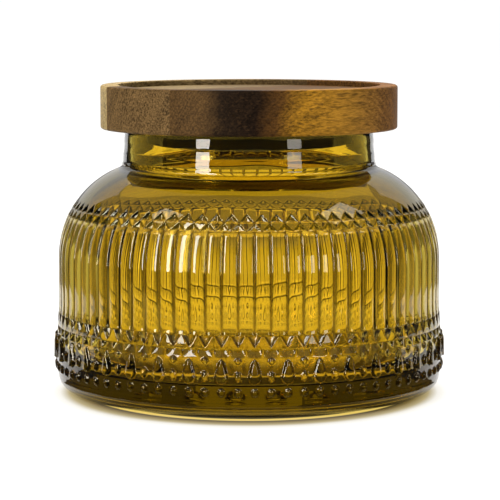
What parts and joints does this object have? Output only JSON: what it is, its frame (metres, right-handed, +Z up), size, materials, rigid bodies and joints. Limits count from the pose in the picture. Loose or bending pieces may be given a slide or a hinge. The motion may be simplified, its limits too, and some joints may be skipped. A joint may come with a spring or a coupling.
{
  "type": "candle jar",
  "caption": "Wide reeded amber glass candle jar with a beaded band, a smooth shoulder and a plain neck, closed by a turned wooden plug lid with a black seal ring.",
  "frame": {"origin": "on the axis, in the plane that the foot stands on", "axes": "+Z up along the axis of the jar; -Y is the front, the side from which the pale end grain of the lid lies on the left"},
  "size_m": [0.1178, 0.1178, 0.0917],
  "materials": {
    "amber_glass": "clear amber pressed glass, polished, reeded and beaded outside",
    "silicone": "black silicone, satin",
    "wood_left": "acacia sapwood, oiled",
    "wood_middle": "acacia, end grain at the front left, oiled",
    "wood_right": "acacia heartwood, oiled"
  },
  "bodies": {
    "jar": {"glass_jar": "amber_glass"},
    "seal": {"seal_ring": "silicone"},
    "lid": {"lid_stave_left": "wood_left", "lid_stave_middle": "wood_middle", "lid_stave_right": "wood_right"}
  },
  "joints": [
    {"name": "lid_lift", "type": "slide", "parent": "jar", "child": "seal", "axis": [0, 0, 1], "range_m": [0, 0.06]},
    {"name": "lid_turn", "type": "hinge", "parent": "seal", "child": "lid", "pos_m": [0, 0, 0.0786], "axis": [0, 0, 1], "continuous": true}
  ]
}
